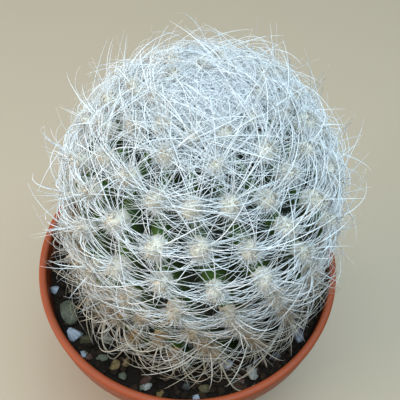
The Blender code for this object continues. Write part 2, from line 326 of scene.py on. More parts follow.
# %% The pot's finish
def plastic_finish():
    """Terracotta red plastic: faint mottling, a soft sheen, and the inner wall darkened below
    the rim, partly dried soil and partly painted shade.
    """
    finish = Finish("terracotta_plastic")
    cloud = finish.noise(120.0, 4.0)
    fine = finish.noise(1900.0, 3.0, 0.6)
    blotch = finish.noise(420.0, 5.0, 0.7)
    base = finish.mix(cloud, colour(146, 63, 32), colour(164, 77, 42))
    height = finish.node("ShaderNodeSeparateXYZ", {}, {0: finish.place()}, "Z")
    # Painted shade: the inner wall darkens from the rim down toward dark brown, standing partly
    # for dried soil and partly for the shade inside the pot.
    inner_wall_painted_shade_and_soil = finish.attribute("inside") * finish.span(height + 0.006 * blotch,
                                                     RIM_Z + 0.5 * MM, RIM_Z - 4.5 * MM)
    dust = finish.span(blotch, 0.55, 0.72, 0.0, 0.35)
    dusty = finish.mix(dust, base, colour(142, 96, 70))
    finish.feed("Base Color", finish.mix(inner_wall_painted_shade_and_soil * 0.85, dusty, colour(52, 34, 24)))
    finish.feed("Roughness", 0.46 + 0.2 * cloud + 0.2 * dust + 0.2 * inner_wall_painted_shade_and_soil)
    finish.feed("Specular IOR Level", 0.32)
    finish.bump(fine * 0.7 + cloud * 0.6 + inner_wall_painted_shade_and_soil * blotch, 0.00006)
    return finish.material


POT_STEPS = 160
DRAINS = 4
DRAIN_RADIUS = 2.8 * MM
DRAIN_RING = 13.5 * MM


def build_pot():
    """Spins the profile, then cuts the drain holes through the floor."""
    mesh = mesh_from(spin_profile(pot_profile(), POT_STEPS), "pot_shell")
    pot = add_piece("pot_shell", mesh, plastic_finish(), "pot")
    for i in range(DRAINS):
        angle = math.tau * (i + 0.5) / DRAINS
        cut = bmesh.new()
        bmesh.ops.create_cone(cut, cap_ends=True, segments=40, radius1=DRAIN_RADIUS,
                              radius2=DRAIN_RADIUS, depth=4 * FLOOR)
        place = Vector((math.cos(angle), math.sin(angle), 0.0)) * DRAIN_RING
        bmesh.ops.translate(cut, verts=cut.verts, vec=place)
        cutter = put("drain", mesh_from(cut, "drain"))
        hole = pot.modifiers.new("drain", "BOOLEAN")
        hole.operation = "DIFFERENCE"
        hole.object = cutter
        bpy.context.view_layer.update()
        graph = bpy.context.evaluated_depsgraph_get()
        drilled = bpy.data.meshes.new_from_object(pot.evaluated_get(graph))
        pot.modifiers.clear()
        pot.data = drilled
        bpy.data.objects.remove(cutter)
    points = points_of(pot.data)
    middle_of_wall = np.where(points[:, 2] < COLLAR_Z + 0.2 * MM,
                              wall_radius(points[:, 2]) - WALL / 2, RIM_RADIUS - LIP_WIDTH / 2)
    within = np.hypot(points[:, 0], points[:, 1]) < middle_of_wall
    store(pot.data, "inside", within.astype(float))


build_pot()

# %% [markdown]
# ## The soil
#
# Cactus soil is loose: dark crumbs of peat with grit. A single displaced disc would look
# like cloth, so the disc only closes the pot, and hundreds of crumbs and stones lie on it.
# Each crumb is a small ball pushed about by noise, copied from one of six shapes, and each
# shape's scatter is one mesh. Its shades are stored at its points.

# %% Seeded randomness
rng = np.random.default_rng(36)


def uniform(low, high, count):
    """Evenly drawn numbers, the same at every run."""
    return rng.uniform(low, high, count)

# %% Copying one small shape many times into one mesh
def scatter(name, seed_bm, matrices, attributes):
    """One mesh holding a copy of a bmesh for each matrix; attributes are one value a copy."""
    source = mesh_from(seed_bm, name + "_seed")
    count = len(source.vertices)
    corners = np.c_[points_of(source), np.ones(count)]
    faces = np.array([list(face.vertices) for face in source.polygons])
    places = np.array([np.array(matrix) for matrix in matrices])
    points = np.einsum("nij,vj->nvi", places, corners)[:, :, :3].reshape(-1, 3)
    shifts = (np.arange(len(matrices)) * count)[:, None, None]
    mesh = bpy.data.meshes.new(name)
    mesh.from_pydata(points, [], (faces[None] + shifts).reshape(-1, faces.shape[1]).tolist())
    bpy.data.meshes.remove(source)
    for key, values in attributes.items():
        store(mesh, key, np.repeat(np.asarray(values), count, axis=0))
    return mesh

# %% The soil's finish
def soil_finish():
    """Dark peat: near black in the hollows, brown on the crumbs, quite dull."""
    finish = Finish("peat_soil")
    shade = finish.attribute("shade")
    grain = finish.noise(1600.0, 5.0, 0.7)
    clump = finish.noise(330.0, 3.0)
    dark = finish.mix(clump, colour(10, 7, 4), colour(28, 20, 13))
    body = finish.mix(shade, dark, colour(66, 48, 33))
    finish.feed("Base Color", finish.mix(finish.span(grain, 0.62, 0.75), body,
                                         colour(88, 77, 62)))
    finish.feed("Roughness", 0.86 + 0.12 * grain)
    finish.feed("Specular IOR Level", 0.25)
    finish.bump(grain + clump, 0.0003)
    return finish.material


SOIL_GAP = 0.3 * MM
SOIL_DIP = 0.3 * MM
SOIL_STEPS = 150
SOIL_RINGS = 60


def build_soil(material):
    """The plug of soil: its top is raised and dimpled by noise."""
    edge = RIM_RADIUS - LIP_WIDTH - SOIL_GAP
    rings = [(r, SOIL_TOP) for r in np.linspace(0.0, edge - 0.2 * MM, SOIL_RINGS)]
    low = FLOOR + SOIL_GAP
    ledge = wall_radius(COLLAR_Z) - WALL - SOIL_GAP
    profile = rings + [(edge, SOIL_TOP - 0.5 * MM), (edge, COLLAR_Z + WALL + SOIL_GAP),
                       (ledge, COLLAR_Z + SOIL_GAP), (wall_radius(low) - WALL - SOIL_GAP, low),
                       (0.0, low)]
    bm = spin_profile(profile, SOIL_STEPS)
    for vert in bm.verts:
        radius = math.hypot(vert.co.x, vert.co.y)
        if vert.co.z > SOIL_TOP - 0.1 * MM and radius < edge - 0.5 * MM:
            broad = noise.noise(vert.co * 190)
            small = noise.noise(vert.co * 900 + Vector((7, 1, 4)))
            fine = noise.noise(vert.co * 2400)
            vert.co.z += broad * 0.6 * MM + small * 0.5 * MM + fine * 0.2 * MM - SOIL_DIP
    mesh = mesh_from(bm, "soil_bed")
    store(mesh, "shade", np.full(len(mesh.vertices), 0.1))
    add_piece("soil_bed", mesh, material, "soil")


peat = soil_finish()
build_soil(peat)

# %% [markdown]
# ### Crumbs and stones
#
# The photograph shows grey-green, bluish white and ochre stones of 2 to 5 mm along the
# wall, half sunk among smaller crumbs. Sixteen of them stand where they lie in the
# photograph, as places on the soil in millimetres; the rest are strewn by a seeded rule.
# A stone is the same rough lump as a crumb with more faces, because it is large enough for
# its ground sides to be seen.

# %% A rough lump
BROAD_WAVE = 1.1
FINE_WAVE = 2.7
FINE_SHARE = 0.4
GROUND_FROM = 0.62
GROUND_SHARE = 0.85


def lump(subdivisions, roughness, seed, facets=0):
    """A ball of radius 1 pushed in and out by noise, with a few sides ground flat."""
    bm = bmesh.new()
    bmesh.ops.create_icosphere(bm, subdivisions=subdivisions, radius=1.0)
    shift = Vector((seed, seed * 0.7, seed * 1.3))
    sides = [Vector(rng.normal(size=3)).normalized() for _ in range(facets)]
    for vert in bm.verts:
        push = noise.noise(vert.co * BROAD_WAVE + shift) * roughness
        push += noise.noise(vert.co * FINE_WAVE + shift) * roughness * FINE_SHARE
        vert.co *= 1.0 + push
        for side in sides:
            over = vert.co.dot(side) - GROUND_FROM
            if over > 0:
                vert.co -= side * over * GROUND_SHARE
    return bm


def lump_places(count, low, high, sink):
    """Turned and squashed places on the open soil for lumps of seeded sizes."""
    places = []
    while len(places) < count:
        size = low + (high - low) * rng.uniform() ** 1.6
        angle = rng.uniform(0, math.tau)
        radius = math.sqrt(rng.uniform(STEM_INNER ** 2, (SOIL_EDGE - size) ** 2))
        x, y = radius * math.cos(angle), radius * math.sin(angle)
        if math.hypot(x - PLANT_X, y) > STEM_OUTER + size * 0.6:
            places.append(lump_place(x, y, size, sink))
    return places


def lump_place(x, y, size, sink):
    """One lump's matrix: seeded turn and squash, sunk by a share of its size."""
    height = SOIL_TOP - SOIL_DIP + size * (0.7 - sink)
    turn = Matrix.Rotation(rng.uniform(0, 6.3), 4, "Z") @ Matrix.Rotation(
        rng.uniform(-0.5, 0.5), 4, "X")
    squash = Matrix.Diagonal((rng.uniform(0.85, 1.2), rng.uniform(0.75, 1.0),
                              rng.uniform(0.6, 0.85), 1.0))
    return Matrix.Translation((x, y, height)) @ turn @ squash @ Matrix.Scale(size, 4)

# %% Crumbs of peat
SOIL_EDGE = RIM_RADIUS - LIP_WIDTH - 0.4 * MM
STEM_OUTER = 21.2 * MM
STEM_INNER = STEM_OUTER - PLANT_X
CRUMB_SHAPES = 6
CRUMBS_EACH = 120
for i in range(CRUMB_SHAPES):
    places = lump_places(CRUMBS_EACH, 0.3 * MM, 1.25 * MM, 0.25)
    mesh = scatter("crumbs_%d" % i, lump(2, 0.5, i * 3.1, facets=4), places,
                   {"shade": rng.beta(1.2, 3.0, CRUMBS_EACH)})
    add_piece("crumbs_%d" % i, mesh, peat, "soil")

# %% The stones' finish
def stone_finish():
    """Mixed grit: each stone has its own colour, with specks and a dull waxy surface."""
    finish = Finish("mixed_grit")
    tint = finish.attribute("tint", "Color")
    speck = finish.noise(2600.0, 4.0, 0.65)
    vein = finish.noise(700.0, 3.0)
    darker = finish.mix(finish.span(speck, 0.45, 0.68) * 0.65, tint, colour(46, 42, 38))
    finish.feed("Base Color", finish.mix(finish.span(vein, 0.55, 0.75) * 0.35, darker,
                                         colour(160, 154, 142)))
    finish.feed("Roughness", 0.62 + 0.3 * speck)
    finish.bump(speck + 0.8 * vein, 0.00015)
    return finish.material

# %% Stones, those seen in the photograph first
GREY_GREEN = colour(108, 108, 86)
BLUE_WHITE = colour(172, 178, 190)
OCHRE = colour(132, 104, 58)
BLUE_GREY = colour(112, 118, 132)
PALE = colour(158, 154, 144)
RUST = colour(82, 46, 34)
SLATE = colour(56, 56, 58)
OLIVE = colour(86, 78, 48)
SEEN_STONES = [
    (-25.3, -12.3, 2.6, GREY_GREEN), (-29.1, -7.0, 1.2, BLUE_WHITE),
    (-23.2, -17.3, 2.1, BLUE_WHITE), (-20.8, -18.0, 1.6, OLIVE),
    (24.1, -14.7, 1.7, BLUE_GREY), (14.4, -23.2, 1.7, PALE),
    (-14.0, -23.2, 1.2, OCHRE), (-16.6, -21.8, 1.1, GREY_GREEN),
    (0.8, -26.8, 1.2, SLATE), (4.9, -27.0, 1.4, OLIVE),
    (12.0, -25.0, 1.3, RUST), (19.3, -19.7, 1.3, SLATE),
    (-7.0, -27.0, 1.1, PALE), (-12.2, -25.4, 1.1, GREY_GREEN),
    (-11.6, -22.4, 1.3, OCHRE), (-19.3, -21.7, 1.0, RUST),
]
TINTS = [GREY_GREEN, BLUE_WHITE, OCHRE, BLUE_GREY, PALE, RUST, SLATE, OLIVE]
grit = stone_finish()
STONE_SHAPES = 4
EXTRA_STONES = 11
for i in range(STONE_SHAPES):
    seen = SEEN_STONES[i::STONE_SHAPES]
    places = [lump_place(x * MM, y * MM, size * MM, 0.25) for x, y, size, _ in seen]
    tints = [tint for _, _, _, tint in seen]
    extra = lump_places(EXTRA_STONES, 0.6 * MM, 1.5 * MM, 0.4)
    tints += [TINTS[rng.integers(len(TINTS))] for _ in extra]
    mesh = scatter("stones_%d" % i, lump(3, 0.22, 5.0 + i * 2.3, facets=7), places + extra,
                   {"tint": tints})
    add_piece("stones_%d" % i, mesh, grit, "soil")

# %% [markdown]
# ## The stem
#
# The body is dark green, with 18 ribs that lean as they run down it and are notched into
# knobs, one for each areole. It shows only in the gaps between the spines. The outline is
# spun like the pot, finely. Each ring is then turned with the lean of the ribs, so that the
# mesh follows them, and each point is raised or sunk by the same formula as in the solids:
# a wave round the stem for the ribs and a wave along it for the knobs. Round the growing
# point the skin is hidden by pale wool, which is only a colour here.

# %% The outline, followed from the growing point
def row_distance(row):
    """How far a row of areoles is from the growing point; young rows stand closer."""
    return FIRST_ROW + ROW_STEP * (row - 1 + YOUNG_SPACING ** row)


def rib_turn(distance):
    """How far the leaning ribs have turned about the stem's axis at a distance."""
    return RIB_LEAN * (distance - LEAN_ZERO)


class Outline:
    """The stem's smooth outline as distance, radius and height."""

    def __init__(self):
        foot = math.asin((STEM_MIDDLE - SOIL_TOP - NECK_GAP) / STEM_LOWER_DROP)
        angle = np.linspace(math.pi / 2, -foot, 800)
        drop = np.where(angle > 0, STEM_TOP_RISE, STEM_LOWER_DROP)
        self.radius = STEM_RADIUS * np.cos(angle)
        self.height = STEM_MIDDLE + drop * np.sin(angle)
        steps = np.hypot(np.diff(self.radius), np.diff(self.height))
        self.distance = np.concatenate(([0.0], np.cumsum(steps)))
        self.length = self.distance[-1]
        self.rows = [row_distance(row) for row in range(ROWS + 1)]

    def at(self, distance):
        """Radius and height at distances from the growing point."""
        return (np.interp(distance, self.distance, self.radius),
                np.interp(distance, self.distance, self.height))

    def outward(self, distance):
        """The outward direction there: its share along the radius and its share upward."""
        before = np.array(self.at(distance - 0.4 * MM))
        after = np.array(self.at(distance + 0.4 * MM))
        along = (after - before) / np.linalg.norm(after - before, axis=0)
        return -along[1], along[0]

    def frame(self, distance, angle, lift):
        """Points lifted off the outline with their outward, sideways and upward directions."""
        radius, height = self.at(distance)
        flat, rise = self.outward(distance)
        cos, sin = np.cos(angle), np.sin(angle)
        reach = radius + lift * flat
        point = np.stack([PLANT_X + reach * cos, reach * sin, height + lift * rise], -1)
        out = np.stack([flat * cos, flat * sin, rise], -1)
        side = np.stack([-sin, cos, np.zeros_like(sin)], -1)
        return point, out, side, np.cross(out, side)

    def relief(self, distance, angle):
        """Rise over the smooth outline: ribs with furrows, and a knob for each areole."""
        turn = (angle + math.pi / 2 - rib_turn(distance)) * RIBS
        crest = 0.5 * (1 + np.cos(turn))
        row = np.interp(distance, self.rows, range(len(self.rows)))
        knob = 0.5 * (1 + np.cos(math.tau * row))
        top = distance / self.rows[1]
        bottom = (self.length - distance) / FOOT_FADE
        fade = np.minimum(1.0, np.minimum(top, bottom))
        return fade * (TUBERCLE * crest * knob - FURROW * (1 - crest))


outline = Outline()
print("outline from growing point to soil: %.1f mm" % (outline.length / MM))

# %% The stem's finish
def flesh_finish():
    """Dark green skin, finely pitted: lighter green on the knobs, and near black in the furrows
    as painted shade.
    """
    finish = Finish("green_flesh")
    crest = finish.attribute("crest")
    cloud = finish.noise(260.0, 4.0)
    fine = finish.noise(3200.0, 2.0)
    # Painted shade: the furrows between the ribs are near black, and the knobs keep the lighter
    # green.
    deep = finish.mix(cloud, colour(5, 11, 3), colour(14, 29, 7))
    high = finish.mix(cloud, colour(46, 79, 15), colour(80, 118, 30))
    skin_with_painted_furrow_shade = finish.mix(crest, deep, high)
    finish.feed("Base Color", finish.mix(finish.attribute("felt") * 0.9, skin_with_painted_furrow_shade,
                                         colour(204, 206, 198)))
    finish.feed("Roughness", 0.5 + 0.25 * fine)
    finish.feed("Specular IOR Level", 0.3)
    finish.bump(fine + 1.4 * cloud, 0.00012)
    return finish.material

# %% The ribbed body
STEM_RINGS = 92
STEPS_A_RIB = 12


def build_stem():
    """Spins the outline with its neck, then leans and raises the ribs."""
    rows = np.linspace(0.0, outline.length, STEM_RINGS)
    profile = [tuple(float(v) for v in outline.at(row)) for row in rows]
    profile[0] = (0.0, profile[0][1])
    profile += [(NECK_RADIUS, stem_low.z), (0.0, stem_low.z)]
    mesh = mesh_from(spin_profile(profile, STEPS_A_RIB * RIBS), "stem_body")
    points = points_of(mesh)
    distance = np.interp(-points[:, 2], -outline.height, outline.distance)
    angle = np.arctan2(points[:, 1], points[:, 0]) + rib_turn(distance)
    radius = np.hypot(points[:, 0], points[:, 1])
    rise = outline.relief(distance, angle)
    leant = np.stack([PLANT_X + radius * np.cos(angle), radius * np.sin(angle),
                      points[:, 2]], -1)
    raised = outline.frame(distance, angle, rise)[0]
    body = (distance < outline.length - 0.01 * MM) & (radius > 0.01 * MM)
    mesh.vertices.foreach_set("co", np.where(body[:, None], raised, leant).ravel())
    # The crest share stored here drives the painted shade in the furrows of the flesh's colour.
    crest = np.clip((rise + FURROW) / (FURROW + TUBERCLE), 0, 1)
    store(mesh, "crest", crest ** 1.3)
    store(mesh, "felt", np.clip((8 * MM - distance) / (4 * MM), 0, 1))
    add_piece("stem_body", mesh, flesh_finish(), "stem")


build_stem()

# %% [markdown]
# ## Where the areoles are
#
# Every spine of a cactus grows from an areole, a felted cushion on a knob. The areoles are
# found by the same rule as the knobs, and each gets three directions of its own: outward,
# sideways round the stem, and upward along its rib. Its age runs from 0 at the growing
# point to 1 at the soil, and the spines' colour and habit follow it. In the photograph the
# coat is fuller on the left than elsewhere and flatter behind it, so each areole also has
# a share by which its spines stand up more, or less where it is minus.

# %% The areoles
def find_areoles():
    """Distances from the growing point and angles of all areoles."""
    distances, angles = [], []
    for row in range(ROWS):
        ribs = range(row % 2, RIBS, 2) if row < YOUNG_ROWS else range(RIBS)
        for rib in ribs:
            distance = row_distance(row) + WANDER * math.sin(2.4 * rib + 1.7 * row)
            distances.append(distance)
            angles.append(-math.pi / 2 + math.tau * rib / RIBS + rib_turn(distance))
    return np.array(distances), np.array(angles)


areole_distance, areole_angle = find_areoles()
areole_age = areole_distance / outline.length
foot, out_dir, side_dir, up_dir = outline.frame(areole_distance, areole_angle, TUBERCLE)
FULL_SIDE = math.radians(190)
FLAT_SIDE = math.radians(128)
fullness = 0.35 * np.clip(np.cos(areole_angle - FULL_SIDE), 0, 1) ** 2
fullness -= 0.5 * np.clip(np.cos(areole_angle - FLAT_SIDE), 0, 1) ** 4
AREOLES = len(areole_distance)
print("areoles: %d, fullness %.2f to %.2f" % (AREOLES, fullness.min(), fullness.max()))

# %% [markdown]
# ## Growing a spine
#
# A spine is a long thin cone that leaves the wool at a slant and bends over the stem. One
# straight needle of a few sides is made with operators, cut into rings, and then every
# spine is a copy whose rings follow its own path. The path is a short formula: forward
# along the stem, up at first and down again later, with some sideways sway and now and
# then a kink. Working on all spines at once keeps the script quick.

# %% The straight needle that all spines copy
def straight_needle(sides, rings):
    """A prism of the given sides cut into rings, as ring numbers, corner angles and faces."""
    bm = bmesh.new()
    bmesh.ops.create_cone(bm, cap_ends=True, segments=sides, radius1=1.0, radius2=1.0, depth=1.0)
    bmesh.ops.translate(bm, verts=bm.verts, vec=(0, 0, 0.5))
    for i in range(1, rings - 1):
        geometry = bm.verts[:] + bm.edges[:] + bm.faces[:]
        bmesh.ops.bisect_plane(bm, geom=geometry, dist=1e-6, plane_co=(0, 0, i / (rings - 1)),
                               plane_no=(0, 0, 1))
    bmesh.ops.recalc_face_normals(bm, faces=bm.faces)
    bm.verts.ensure_lookup_table()
    ring = [round(vert.co.z * (rings - 1)) for vert in bm.verts]
    angle = [math.atan2(vert.co.y, vert.co.x) for vert in bm.verts]
    faces = [[vert.index for vert in face.verts] for face in bm.faces]
    bm.free()
    return np.array(ring), np.array(angle), faces

# %% Bending copies of the needle along their paths
def needle_mesh(name, paths, radii, attributes, sides=3):
    """One mesh of a needle along each path; radii are given at each ring of each path."""
    count, rings, _ = paths.shape
    ring, angle, faces = straight_needle(sides, rings)
    along = np.gradient(paths, axis=1)
    along /= np.linalg.norm(along, axis=2, keepdims=True)
    guide = rng.normal(size=(count, 1, 3))
    first = np.cross(along, guide)
    first /= np.linalg.norm(first, axis=2, keepdims=True)
    second = np.cross(along, first)
    spread = first[:, ring] * np.cos(angle)[None, :, None] + second[:, ring] * np.sin(
        angle)[None, :, None]
    points = paths[:, ring] + spread * radii[:, ring, None]
    corners = len(ring)
    shift = np.arange(count) * corners
    mesh = bpy.data.meshes.new(name)
    everything = []
    for face in faces:
        everything += (np.array(face)[None] + shift[:, None]).tolist()
    mesh.from_pydata(points.reshape(-1, 3), [], everything)
    store(mesh, "along", np.tile(ring / (rings - 1), count))
    for key, values in attributes.items():
        store(mesh, key, np.repeat(values, corners))
    return mesh

# %% A spine's path
PATH_SAMPLES = 24
KINK_SPAN = (0.25, 0.7)


def spine_paths(root, out, ahead, length, rise, settle, sway, kink, hug):
    """Paths that leave their roots at an angle and settle over the stem.

    ahead is the direction along the stem, rise the starting angle off it, settle the height
    at the tip as a share of the length, and hug how closely the path follows the round stem.
    """
    share = np.linspace(0.0, 1.0, PATH_SAMPLES)[None, :, None]
    length = length[:, None, None]
    rise = rise[:, None, None]
    forward = length * np.cos(rise) * share
    drop = np.sin(rise) - settle[:, None, None]
    height = length * (np.sin(rise) * share - drop * share ** 2)
    height = height - hug * forward ** 2 / (2 * STEM_RADIUS)
    aside = np.cross(out, ahead)[:, None, :]
    bend = length * sway[:, None, None] * share ** 2
    bend_at = uniform(*KINK_SPAN, (len(root), 1, 1))
    turn = rng.normal(size=(len(root), 1, 3)) * kink[:, None, None]
    crook = length * np.maximum(0.0, share - bend_at) * turn
    path = root[:, None, :] + ahead[:, None, :] * forward + out[:, None, :] * height
    return path + aside * bend + crook

# %% Keeping spines off the stem, soil and pot
SOIL_CLEAR = 1.1 * MM
STEM_CLEAR = 0.9 * MM
BOX_CLEAR = 0.3 * MM
NARROWING = 14.0 * MM
NARROWED = 0.07
DEEPEST = SOIL_TOP - 1.5 * MM
WALL_INSIDE = RIM_RADIUS - LIP_WIDTH - 0.4 * MM


def lift_off_stem(paths):
    """Moves points that lie too close to the stem out to a fixed distance from it."""
    local = paths - [PLANT_X, 0.0, STEM_MIDDLE]
    rise = np.where(local[..., 2] > 0, STEM_TOP_RISE, STEM_LOWER_DROP)
    flat = np.hypot(local[..., 0], local[..., 1])
    share = np.sqrt((flat / STEM_RADIUS) ** 2 + (local[..., 2] / rise) ** 2)
    push = np.maximum(share, 1.0 + STEM_CLEAR / STEM_RADIUS) / share
    local[..., :2] *= push[..., None]
    local[..., 2] *= np.where(local[..., 2] > 0, push, 1.0)
    return local + [PLANT_X, 0.0, STEM_MIDDLE]


def lie_on_soil(paths):
    """Eases points that would sink into the soil up onto it."""
    ground = SOIL_TOP + SOIL_CLEAR
    ease = 0.6 * MM
    above = paths[..., 2] - ground
    paths[..., 2] = np.where(above < 6 * ease, ground + ease * np.logaddexp(0, above / ease),
                             paths[..., 2])
    return paths


def trim(paths, limit, rings):
    """Ends each path where it would leave its reach, dig deep or meet the pot.

    limit is the share of the full reach that each spine may use.
    """
    local = paths - [PLANT_X, 0.0, STEM_MIDDLE]
    tall = np.maximum(local[..., 2], 0.0) / (TOP_Z - STEM_MIDDLE - BOX_CLEAR)
    low = np.clip((RIM_Z + NARROWING - paths[..., 2]) / NARROWING, 0.0, 1.0)
    wide = np.hypot(local[..., 0], local[..., 1]) / (REACH - BOX_CLEAR) * (1 + NARROWED * low)
    from_axis = np.hypot(paths[..., 0], paths[..., 1])
    outside = np.hypot(tall, wide) > limit[:, None]
    deep = paths[..., 2] < DEEPEST
    in_wall = (from_axis > WALL_INSIDE) & (paths[..., 2] < RIM_Z + 0.4 * MM)
    stop = outside | deep | in_wall
    stop[:, :3] = False
    last = np.where(stop.any(axis=1), stop.argmax(axis=1) - 1.0, PATH_SAMPLES - 1.0)
    at = np.linspace(0.0, 1.0, rings)[None, :] * last[:, None]
    before = np.minimum(at.astype(int), PATH_SAMPLES - 2)
    part = (at - before)[..., None]
    row = np.arange(len(paths))[:, None]
    return paths[row, before] * (1 - part) + paths[row, before + 1] * part


def settle_paths(paths, limit, rings):
    """All the rules for a spine's path, in order."""
    return trim(lie_on_soil(lift_off_stem(paths)), limit, rings)

# %% [markdown]
# ## The spines' finish
#
# Each spine is white with a little cream at its root. Young ones are clean and cool in
# tone. Old ones near the soil are darker and tan, partly from yellowing and dust and partly
# as painted shade. A number for its age, its own tone and the place along it are stored at
# its points, and the material mixes between colours by them.

# %% White spines, clean above, dusty and darker below with painted shade
def spine_finish(name, young, old, root, roughness):
    """Spine white from three colours: young, old and the root's; the old one is partly painted
    shade.
    """
    finish = Finish(name)
    age, tone, along = [finish.attribute(key) for key in ("age", "tone", "along")]
    # Painted shade: the old colour, darker tan toward the soil, stands partly for yellowing and
    # dust and partly for shade on the low spines.
    aged_and_painted_shade = finish.span(age + 0.25 * tone, 0.66, 1.02)
    body = finish.mix(aged_and_painted_shade, young, old)
    near_root = finish.span(along, 0.3, 0.0) * finish.span(tone, 0.0, 1.0, 0.25, 0.8)
    shaded = finish.mix(near_root, body, root)
    dim = finish.span(tone, 0.0, 1.0, 0.80, 1.0)
    grey = finish.node("ShaderNodeCombineColor", {}, {0: dim, 1: dim, 2: dim})
    finish.feed("Base Color", finish.mix(1.0, shaded, grey, "MULTIPLY"))
    finish.feed("Roughness", roughness + 0.12 * finish.noise(900.0))
    finish.feed("Specular IOR Level", 0.45)
    return finish.material


# The second colour of each, the old one, is partly painted shade of the spines near the soil.
radial_white = spine_finish("radial_white", colour(246, 248, 249), colour(166, 151, 129),
                            colour(236, 228, 206), 0.42)
central_white = spine_finish("central_white", colour(250, 251, 252), colour(188, 177, 157),
                             colour(238, 228, 206), 0.32)

# %% [markdown]
# ## Radial spines
#
# Some thirty hair-fine spines fan out all round each areole and lie over the stem, where
# they cross those of the next areole. Those that start up or down the stem bend round to
# the side, so most of the net runs crosswise. The fans are closest at the crown and thin out
# downward, where the old spines are also longer, looser and bent. So they are made in four
# bands, each with its own numbers, and no single mesh grows too large.

# %% Roots and directions of spines
def fan_roots(index, spread, lift):
    """Root points strewn over the wool of the given areoles, and sunk into it."""
    turn = uniform(0, math.tau, len(index))[:, None]
    radius = (np.sqrt(uniform(0, 1, len(index))) * spread)[:, None]
    offset = side_dir[index] * np.cos(turn) + up_dir[index] * np.sin(turn)
    return foot[index] + offset * radius + out_dir[index] * lift


def ahead_of(index, turn):
    """The direction along the stem at an angle from sideways."""
    return side_dir[index] * np.cos(turn)[:, None] + up_dir[index] * np.sin(turn)[:, None]


def taper(base, rings, tip_share, power):
    """Radii from root to tip."""
    share = np.linspace(0.0, 1.0, rings)[None, :] ** power
    return base[:, None] * (1 - (1 - tip_share) * share)


CROSSWISE = 0.35
SWEEP = 0.36
FAN_RINGS = 7


def spread_turns(areoles, each, jitter):
    """Directions all round each areole from a seeded start, crowded toward both sides."""
    even = np.tile(np.arange(each) * math.tau / each, areoles)
    turn = even + np.repeat(uniform(0, 6.3, areoles), each) + rng.normal(0, jitter, len(even))
    return turn - CROSSWISE / 2 * np.sin(2 * turn)

# %% Fans of radial spines
def build_radials(name, chosen, each, lengths, widths, loose=0.14, steep=31, ends=(0.0, 0.16)):
    """A fan of fine spines round each chosen areole.

    loose is how far they stray sideways, steep their mean angle off the stem, and ends how
    far their tips have bent back to it.
    """
    index = np.repeat(chosen, each)
    count = len(index)
    turn = spread_turns(len(chosen), each, 0.25)
    length = uniform(*lengths, count) * (0.92 + 0.28 * np.abs(np.cos(turn)))
    rise = np.radians(np.clip(rng.normal(steep, 13, count), 6, 64))
    rise *= 1 + fullness[index]
    settle = uniform(*ends, count)
    sway = -SWEEP * np.sin(2 * turn) + rng.normal(0, loose, count)
    paths = spine_paths(fan_roots(index, 1.2 * MM, 0.3 * MM), out_dir[index],
                        ahead_of(index, turn), length, rise, settle, sway,
                        np.abs(rng.normal(0, 0.035, count)), 1.0)
    radii = taper(uniform(*widths, count), FAN_RINGS, 0.2, 1.6)
    limit = uniform(0.86, 0.97, count) + 0.1 * fullness[index]
    mesh = needle_mesh(name, settle_paths(paths, limit, FAN_RINGS), radii,
                       {"age": areole_age[index], "tone": uniform(0, 1, count)})
    add_piece(name, mesh, radial_white, "spines")


def band(start, end):
    """The areoles between two distances in millimetres from the growing point."""
    return np.flatnonzero((areole_distance > start * MM) & (areole_distance < end * MM))


crown_band = band(0, 20)
shoulder_band = band(20, 40)
waist_band = band(40, 47)
middle_band = band(20, 47)
lower_band = band(47, 99)
print("areoles by band:", len(crown_band), len(shoulder_band), len(waist_band), len(lower_band))
SILK = (0.04 * MM, 0.075 * MM)
THREAD = (0.06 * MM, 0.115 * MM)
HAIR = (0.06 * MM, 0.10 * MM)
build_radials("radials_crown", crown_band, 30, (7 * MM, 14 * MM), SILK)
build_radials("radials_shoulder", shoulder_band, 26, (6.5 * MM, 12 * MM), THREAD)
build_radials("radials_waist", waist_band, 18, (7.0 * MM, 13 * MM), THREAD, 0.2)
build_radials("radials_lower", lower_band, 8, (12 * MM, 21 * MM), HAIR, 0.28, 40, (0.1, 0.5))

# %% [markdown]
# ## Central spines
#
# A few stouter spines stand in the middle of each areole. Most are half as long again,
# leave the plant at a steeper angle and bend gently over it. The young ones lean upward and
# the old ones hang down over the soil like a beard. They form the loose outer layer and the
# stray tips along the outline. Now and then one is kinked. Each ends where its own reach
# ends, so the outline stays loose and uneven.

# %% Longer, stouter spines
def build_centrals(name, chosen, each, lengths, steep, upward, widths, ends=(0.1, 0.7),
                   hug=0.4, spread=1.1, loose=0.11, sides=5, rings=12):
    """Central spines: steep is their mean angle off the stem, upward the way they lean.

    ends says how far the tips have bent back: 1 for a straight spine, 0 for a full arch.
    """
    index = np.repeat(chosen, each)
    count = len(index)
    turn = upward + rng.normal(0, spread, count)
    length = uniform(*lengths, count)
    rise = np.radians(np.clip(rng.normal(steep, 14, count), 10, 84))
    rise *= 1 + fullness[index]
    settle = np.sin(rise) * uniform(*ends, count)
    kink = np.abs(rng.normal(0, 0.05, count)) + np.where(uniform(0, 1, count) < 0.06, 0.4, 0.0)
    paths = spine_paths(fan_roots(index, 0.8 * MM, 0.3 * MM), out_dir[index],
                        ahead_of(index, turn), length, rise, settle,
                        rng.normal(0, loose, count), kink, hug)
    radii = taper(uniform(*widths, count), rings, 0.12, 1.8)
    limit = 1.0 - 0.16 * uniform(0, 1, count) ** 1.5
    mesh = needle_mesh(name, settle_paths(paths, limit, rings), radii,
                       {"age": areole_age[index], "tone": uniform(0.3, 1, count)}, sides)
    add_piece(name, mesh, central_white, "spines")


